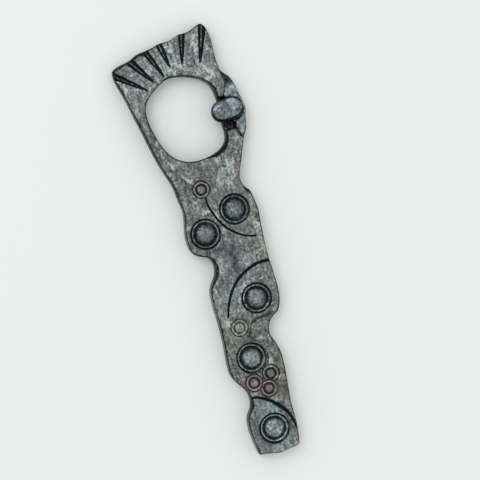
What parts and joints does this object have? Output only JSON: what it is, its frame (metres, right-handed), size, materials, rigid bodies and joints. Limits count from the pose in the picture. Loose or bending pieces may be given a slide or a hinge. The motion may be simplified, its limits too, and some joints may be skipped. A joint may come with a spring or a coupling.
{
  "type": "bottle opener",
  "caption": "Flat hand-forged bottle opener: fan-shaped head, round opening with a riveted cap lug, and a notched handle with ring-punch marks.",
  "frame": {"origin": "middle of the plan's box, on the flat back that lies on a table", "axes": "+Z out of the struck face, +Y from the tail to the fan-shaped head, +X to the side with the cap lug"},
  "size_m": [0.0454, 0.165, 0.009],
  "materials": {
    "forged_steel": "hand-forged steel, dark forge patina rubbed back and waxed",
    "lug_steel": "smoother peened steel with a bluish oxide patina"
  },
  "bodies": {
    "root": {"opener_body": "forged_steel", "cap_lug": "lug_steel"}
  },
  "joints": []
}
